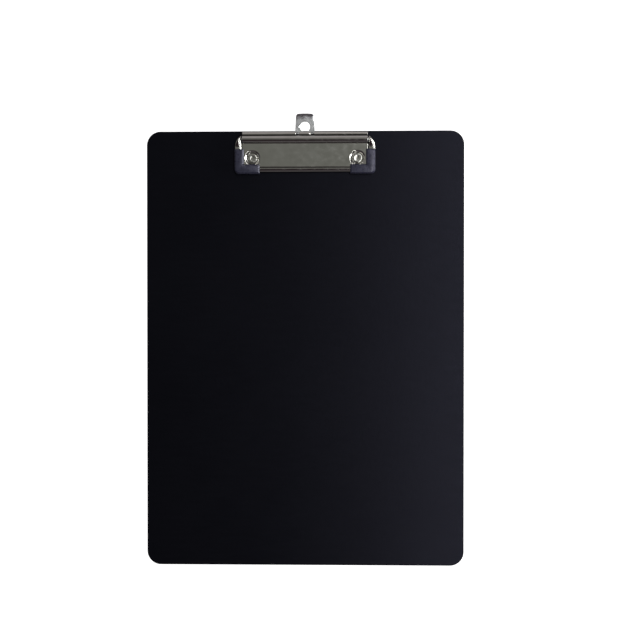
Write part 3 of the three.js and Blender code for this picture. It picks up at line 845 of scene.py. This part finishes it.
def make_hanging_tab(material):
    """A sheet strip with a round hole, a curled tip, notches at its root and a wide foot."""
    steps = TAB_PATCH_STEPS
    patch_low = TAB_HOLE_Y - TAB_PATCH_HALF
    patch_high = TAB_HOLE_Y + TAB_PATCH_HALF
    tip = tab_flat_tip()
    corner = TAB_CORNER_RADIUS
    rows = [row for row in tab_rows() if row[0] < patch_low - TAB_PATCH_GAP]
    patch_row = len(rows)
    ahead = spread(patch_low, patch_high, steps) + spread(patch_high, tip - corner, 8)[1:]
    ahead += [tip - corner * (1 - math.sin(math.radians(angle))) for angle in spread(0, 90, 6)[1:]]
    rows += [(y, tab_half_width(y)) for y in ahead]
    margin = [TAB_RIM_SHARE, 1]
    first = len(margin)
    across = [-share for share in reversed(margin)] + spread(-TAB_PATCH_HALF, TAB_PATCH_HALF, steps) + margin
    width = len(across)
    vertices = []
    for y, half_width in rows:
        arch = TAB_ARCH * clamp((y - patch_high) / (tip - patch_high))
        for column, place in enumerate(across):
            x = tab_x(place, column < first or column >= width - first, half_width)
            vertices.append(curled(x, y - arch * (x / TAB_TIP_HALF_WIDTH) ** 2))

    def is_open(row, column):
        return patch_row <= row < patch_row + steps and first <= column < first + steps

    faces = grid_faces(len(rows), width, is_open)
    border = square_border(patch_row, first, width, steps)
    add_ring(vertices, faces, border, border, (0, TAB_HOLE_Y), TAB_HOLE_RADIUS)
    piece = piece_from("hanging_tab_strip", vertices, faces, material)
    thicken_sheet(piece, even_offset=False)
    return settle(piece, HANGER, "hanger_tab")


# ---------------------------------------------------------------- jaw frame

def shoulder_outer_x(y):
    """The shoulder's outer edge at a given y, from a smooth curve out to the arm's full width."""
    points = [
        Vector((EAR_INNER_X, jaw_high.y)),
        Vector((EAR_INNER_X + SHOULDER_PULL_OUT, jaw_high.y - SHOULDER_PULL_FORWARD)),
        Vector((jaw_high.x, SHOULDER_END_Y + SHOULDER_PULL_BACK)),
        Vector((jaw_high.x, SHOULDER_END_Y)),
    ]
    if y <= SHOULDER_END_Y:
        return jaw_high.x
    low, high = 0.0, 1.0
    for _ in range(30):
        middle = (low + high) / 2
        if bezier(points, middle).y > y:
            low = middle
        else:
            high = middle
    return bezier(points, low).x


def bezier(points, t):
    """A point on a cubic curve through the first and last of four points."""
    a, b, c, d = points
    s = 1 - t
    return a * s**3 + b * 3 * s * s * t + c * 3 * s * t * t + d * t**3


def arm_top_z(y):
    """Height of the arm's top: round over the hinge, then easing down to the arm."""
    if y >= HINGE_Y:
        return HINGE_Z + math.sqrt(max(0, EAR_RADIUS**2 - (y - HINGE_Y) ** 2))
    share = clamp((HINGE_Y - y) / (HINGE_Y - SLOPE_END_Y))
    ease = share * share * (3 - 2 * share)
    return HINGE_Z + EAR_RADIUS + (ARM_TOP - HINGE_Z - EAR_RADIUS) * ease


def corner_reach(angle, centre, radius):
    """Distance from the inner corner's centre to the arm's outer corner, along an angle."""
    direction = Vector((math.sin(angle), -math.cos(angle)))
    to_side = (NECK_X - centre.x) / max(direction.x, 1e-6)
    to_front = (centre.y - jaw_low.y) / max(-direction.y, 1e-6)
    reach = min(to_side, to_front)
    round_centre = Vector((NECK_X - radius, jaw_low.y + radius))
    hit = centre + direction * reach
    if hit.x > round_centre.x and hit.y < round_centre.y:
        along = (round_centre - centre).dot(direction)
        off = (round_centre - centre - direction * along).length
        reach = along + math.sqrt(max(0, radius**2 - off**2))
    return reach


def bar_stations():
    """Sections along the bottom bar, from its middle to the corner."""
    stations = []
    for x in spread(0, EAR_INNER_X - JAW_INNER_TURN, 12):
        inner, outer = Vector((x, BAR_BACK_Y)), Vector((x, jaw_low.y))
        stations.append((inner, outer, ARM_TOP, BAR_OPEN_FOOT, SEAT_Z, BAR_EDGE_RADIUS, BAR_ROLL_RADIUS))
    return stations


def corner_stations():
    """Sections that fan out round the corner, easing from the bar's shape to the arm's."""
    centre = JAW_CORNER_CENTRE
    stations = []
    for degrees in spread(0, 90, 12)[1:]:
        angle = math.radians(degrees)
        share = degrees / 90
        direction = Vector((math.sin(angle), -math.cos(angle)))
        inner = centre + direction * JAW_INNER_TURN
        outer = centre + direction * corner_reach(angle, centre, JAW_CORNER_RADIUS)
        foot = mix(BAR_OPEN_FOOT, SEAT_Z, share)
        inner_round = mix(BAR_EDGE_RADIUS, ARM_ROUND_RADIUS, share)
        outer_round = mix(BAR_ROLL_RADIUS, ARM_ROUND_RADIUS, share)
        stations.append((inner, outer, ARM_TOP, foot, SEAT_Z, inner_round, outer_round))
    return stations


def arm_plan():
    """(y, outer x) up the arm: straight, then a small rounded step out, then the shoulder."""
    step_start = SHOULDER_STEP_Y - SHOULDER_STEP_LENGTH
    plan = [(y, NECK_X) for y in spread(JAW_CORNER_CENTRE.y, step_start, 8)[1:]]
    for step in range(1, 4):
        reach = (jaw_high.x - NECK_X) * math.sin(math.radians(30 * step))
        plan.append((step_start + SHOULDER_STEP_LENGTH * step / 3, NECK_X + reach))
    back = jaw_high.y - EAR_BACK_GAP
    for degrees in spread(0, 90, 26)[1:]:
        y = mix(SHOULDER_STEP_Y, back, math.sin(math.radians(degrees)))
        plan.append((y, max(shoulder_outer_x(y), EAR_INNER_X + EAR_LEAST_WIDTH)))
    return plan


def arm_stations():
    """Sections up the arm and over the shoulder to the hinge ear."""
    stations = []
    for y, outer_x in arm_plan():
        lift = clamp((y - (HINGE_Y - EAR_LIFT_LENGTH)) / EAR_LIFT_LENGTH)
        foot = SEAT_Z + (HINGE_Z - SEAT_Z) * lift * lift * (3 - 2 * lift)
        growth = clamp((y - SHOULDER_STEP_Y) / SHOULDER_ROUND_LENGTH)
        radius = ARM_ROUND_RADIUS + SHOULDER_EXTRA_ROUND * growth
        inner, outer = Vector((EAR_INNER_X, y)), Vector((outer_x, y))
        stations.append((inner, outer, arm_top_z(y), foot, foot, radius, radius))
    return stations


def jaw_stations():
    """Sections from the bar's middle to the ear. Each holds its inner and outer point seen from above,
    its top, the feet of its inner and outer wall, and the radii of its inner and outer top edge."""
    return bar_stations() + corner_stations() + arm_stations()


def channel_section(station, inset):
    """Points over one section of the channel, from the inner wall's foot to the outer wall's."""
    inner, outer, top, inner_foot, outer_foot, inner_round, outer_round = station
    width = (outer - inner).length
    direction = (outer - inner).normalized()
    narrow = max(width - 2 * inset, LEAST_SPAN)
    start = (width - narrow) / 2
    top = max(top - inset, outer_foot + LEAST_SPAN)
    inner_foot = min(inner_foot, top - LEAST_WALL)
    room = narrow - LEAST_FLAT
    inner_limit = min(room / 2, top - inner_foot - LEAST_FLAT)
    inner_round = max(LEAST_ROUND, min(inner_round - inset, inner_limit))
    outer_limit = min(room - inner_round, top - outer_foot - LEAST_FLAT)
    outer_round = max(LEAST_ROUND, min(outer_round - inset, outer_limit))
    outline = [(0, inner_foot), (0, (inner_foot + top - inner_round) / 2)]
    outline += arc((inner_round, top - inner_round), inner_round, 180, 90, 7)
    outline += arc((narrow - outer_round, top - outer_round), outer_round, 90, 0, 12)
    outline += [(narrow, (outer_foot + top - outer_round) / 2), (narrow, outer_foot)]
    points = []
    for across, z in outline:
        plan = inner + direction * (start + across)
        points.append((plan.x, plan.y, z))
    return points


def ear_hole(side, y, radius, material):
    """A round cutter through the ear's inner wall, along the hinge."""
    ring = circle((y, HINGE_Z), radius, EAR_HOLE_STEPS)
    ends = (EAR_INNER_X - EAR_HOLE_REACH, rod_high.x + HOLE_GAP)
    walls = [[(side * x, a, b) for a, b in ring] for x in ends]
    return piece_from("cutter", *loft_closed_rings(walls), material)


def make_jaw_frame(material):
    """A U-shaped channel of pressed steel, with domed shoulders that end in the hinge ears."""
    right = jaw_stations()
    outside = [channel_section(station, 0) for station in right]
    inside = [channel_section(station, JAW_SHEET) for station in right]
    rings = [out + list(reversed(into)) for out, into in zip(outside, inside)]
    mirrored = [[(-x, y, z) for x, y, z in ring] for ring in reversed(rings[1:])]
    piece = piece_from("clip_jaw_frame", *loft_closed_rings(mirrored + rings), material)
    rod_radius = (rod_high.z - rod_low.z) / 2
    tail_y = HINGE_Y - COIL_RADIUS
    for side in (-1, 1):
        for y, radius in ((HINGE_Y, rod_radius), (tail_y, WIRE_RADIUS)):
            cut_away(piece, ear_hole(side, y, radius + HOLE_GAP, material))
    smooth_by_angle(piece, 40)
    return settle(piece, JAW, "jaw_frame")


# ---------------------------------------------------------------- corner grips

def grip_outline(inset):
    """Anticlockwise L-shape of the right-hand grip, moved inwards by an inset."""
    end_x = grip_low.x + inset
    front = grip_low.y + inset
    back = grip_high.y - inset
    outer = grip_high.x - inset
    inner = GRIP_INNER_X + inset
    leg = grip_low.y + GRIP_LEG_WIDTH - inset
    corner = GRIP_CORNER_RADIUS - inset
    small = max(GRIP_SMALL_RADIUS - inset, GRIP_LEAST_RADIUS)
    hollow = GRIP_SMALL_RADIUS + inset
    points = arc((end_x + small, front + small), small, 180, 270, 4)
    points += arc((outer - corner, front + corner), corner, 270, 360, 14)
    points += arc((outer - small, back - small), small, 0, 90, 4)
    points += arc((inner + small, back - small), small, 90, 180, 4)
    points += arc((inner - hollow, leg + hollow), hollow, 0, -90, 4)
    points += arc((end_x + small, leg - small), small, 90, 180, 4)
    return points


def make_corner_grip(side_name, side, material):
    """A moulded L-shaped cover with chamfered upper edges, hollow underneath."""
    shoulder = grip_high.z - GRIP_BEVEL
    bend_in, bend_up = GRIP_SHOULDER_BEND
    brow_in, brow_down = GRIP_BROW_BEND
    levels = [
        (GRIP_FOOT_EDGE, grip_low.z),
        (0, grip_low.z + GRIP_FOOT_EDGE),
        (0, shoulder - GRIP_ROUND_EDGE),
        (bend_in, shoulder + bend_up),
        (GRIP_BEVEL - brow_in, grip_high.z - brow_down),
        (GRIP_BEVEL + GRIP_ROUND_EDGE, grip_high.z),
    ]
    rings = [[(side * x, y, z) for x, y in grip_outline(inset)] for inset, z in levels]
    piece = piece_from(f"moulded_grip_{side_name}", *loft_closed_rings(rings), material)
    outer = grip_high.x - GRIP_WALL
    front = grip_low.y + GRIP_WALL
    end = grip_low.x - GRIP_HOLLOW_REACH
    back = grip_high.y + GRIP_HOLLOW_REACH
    radius = GRIP_CORNER_RADIUS - GRIP_WALL
    inside = [(end, front)] + arc((outer - radius, front + radius), radius, 270, 360, 8)
    inside += [(outer, back), (end, back)]
    heights = (grip_low.z - GRIP_HOLLOW_DEPTH, ARM_TOP + GRIP_SEAT_GAP)
    walls = [[(side * x, y, z) for x, y in inside] for z in heights]
    cut_away(piece, piece_from("cutter", *loft_closed_rings(walls), material))
    smooth_by_angle(piece, 30)
    return settle(piece, JAW, f"corner_grip_{side_name}")


# ---------------------------------------------------------------- springs and rod

def spring_points(side):
    """Centre line of a torsion spring: leg under the plateau, coil, and tail into the jaw's ear."""
    coil = COIL_RADIUS
    inner_x = spring_low.x + WIRE_RADIUS
    outer_x = inner_x + COIL_LENGTH
    steps = round(COIL_TURNS * COIL_STEPS_PER_TURN)
    points = [(inner_x, y, HINGE_Z - coil) for y in spread(spring_low.y, HINGE_Y, 8)[:-1]]
    for step, x in enumerate(spread(inner_x, outer_x, steps)):
        angle = 2 * math.pi * COIL_TURNS * step / steps - math.pi / 2
        points.append((x, HINGE_Y + coil * math.cos(angle), HINGE_Z + coil * math.sin(angle)))
    points += [(x, HINGE_Y - coil, HINGE_Z) for x in spread(outer_x, spring_high.x, 8)[1:]]
    return [(side * x, y, z) for x, y, z in points]


def make_spring(side_name, side, material):
    """A coil of wire that is held to the base at its inner end and to the jaw at its outer end."""
    points = spring_points(side)
    curve = bpy.data.curves.new("wire", "CURVE")
    curve.dimensions = "3D"
    curve.bevel_depth = WIRE_RADIUS
    curve.bevel_resolution = 4
    curve.use_fill_caps = True
    spline = curve.splines.new("POLY")
    spline.points.add(len(points) - 1)
    for target, point in zip(spline.points, points):
        target.co = (*point, 1)
    holder = add_object("wire", curve)
    graph = bpy.context.evaluated_depsgraph_get()
    mesh = bpy.data.meshes.new_from_object(holder.evaluated_get(graph))
    bpy.data.objects.remove(holder)
    mesh.materials.clear()
    mesh.materials.append(material)
    piece = add_object(f"coil_spring_{side_name}", mesh)
    smooth_by_angle(piece, 50)
    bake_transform(piece)
    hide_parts(f"torsion_spring_{side_name}")


def dress_hinge_rod(material):
    """The CAD model's own rod, given its look."""
    rod = frame["nodes"]["hinge_rod"]
    rod.data.materials.clear()
    rod.data.materials.append(material)
    smooth_by_angle(rod, 30)


# ---------------------------------------------------------------- stage, light and camera

def make_floor():
    """A plain floor just under the board, which the steel does not mirror."""
    reach = FLOOR_REACH
    mesh = bpy.data.meshes.new("floor")
    corners = [(-reach, -reach), (reach, -reach), (reach, reach), (-reach, reach)]
    mesh.from_pydata([(x, y, FLOOR_Z) for x, y in corners], [], [(0, 1, 2, 3)])
    mesh.materials.append(make_floor_paint())
    floor = add_object("floor", mesh)
    floor.visible_glossy = False


def add_area_light(name, place, target, size, power):
    """A softbox at a place, facing a target."""
    data = bpy.data.lights.new(name, "AREA")
    data.shape = "RECTANGLE"
    data.size, data.size_y = size
    data.energy = power
    light = add_object(name, data)
    light.location = place
    light.rotation_euler = (Vector(target) - Vector(place)).to_track_quat("-Z", "Y").to_euler()
    light.visible_camera = False


def make_lights():
    """A low softbox to the right, aimed at the clip, and a tall one overhead for the board's sheen."""
    clip = (0, RIVET_Y, FACE_Z)
    add_area_light("right_softbox", place=(0.75, 0.12, 0.2), target=clip, size=(0.6, 0.16), power=4)
    overhead = (0.25, 0, 1.1)
    below = (0.25, 0, 0)
    add_area_light("sheen_softbox", place=overhead, target=below, size=(0.12, 1.4), power=5.1)


def make_world():
    """A room that is dim in front, grey overhead and paler behind the clip, with a dark floor."""
    world = bpy.data.worlds.new("room")
    world.use_nodes = True
    bpy.context.scene.world = world
    nodes = world.node_tree.nodes
    background = nodes["Background"]
    direction = nodes.new("ShaderNodeTexCoord").outputs["Generated"]
    split = nodes.new("ShaderNodeSeparateXYZ")
    link(world, direction, split.inputs["Vector"])
    stops = [
        (0.0, (0.12, 0.11, 0.115)),
        (0.085, (0.055, 0.045, 0.05)),
        (0.18, (0.020, 0.013, 0.016)),
        (0.33, (0.030, 0.022, 0.025)),
        (0.45, (0.060, 0.052, 0.053)),
        (0.52, (0.172, 0.174, 0.160)),
        (0.60, (0.182, 0.184, 0.168)),
        (0.70, (0.165, 0.155, 0.155)),
        (0.80, (0.26, 0.245, 0.245)),
        (0.90, (0.40, 0.375, 0.38)),
        (1.0, (0.38, 0.355, 0.36)),
    ]
    along = add_range(world, split.outputs["Y"], -1, 1, 0, 1)
    above = add_range(world, split.outputs["Z"], HORIZON_FROM, HORIZON_TO, HORIZON_TONE, 1)
    link(world, add_ramp(world, along, stops), background.inputs["Color"])
    link(world, above, background.inputs["Strength"])


def make_camera():
    """Nearly straight above, a little to the right of the board's middle, which sits low and left."""
    data = bpy.data.cameras.new("camera")
    data.sensor_width = CAMERA_SENSOR
    data.lens = CAMERA_LENS
    data.shift_x, data.shift_y = CAMERA_SHIFT
    camera = add_object("camera", data)
    camera.rotation_euler = CAMERA_TILT
    camera.location = camera.rotation_euler.to_matrix() @ Vector((0, 0, CAMERA_DISTANCE))
    bpy.context.scene.camera = camera


# ---------------------------------------------------------------- assembly

bpy.context.scene.view_settings.view_transform = "Standard"
make_camera()
make_world()
make_lights()
make_floor()

board_plastic = make_board_plastic()
plate_steel = make_plate_steel()
bright_steel = make_plated_steel("bright_steel", 0.07, 0.14, NICKEL_DARK, NICKEL_LIGHT)[0]
satin_steel = make_plated_steel("satin_steel", 0.13, 0.2, NICKEL_DARK, NICKEL_LIGHT)[0]
tab_steel = make_plated_steel("tab_steel", 0.2, 0.28, ZINC_DARK, ZINC_LIGHT)[0]
grip_plastic = make_grip_plastic()
spring_steel = make_spring_steel()

make_board(board_plastic)
make_base_plate(plate_steel)
make_hanging_tab(tab_steel)
make_jaw_frame(bright_steel)
dress_hinge_rod(spring_steel)
for side_name, side in (("left", -1), ("right", 1)):
    make_rivet(side_name, side, satin_steel)
    make_corner_grip(side_name, side, grip_plastic)
    make_spring(side_name, side, spring_steel)
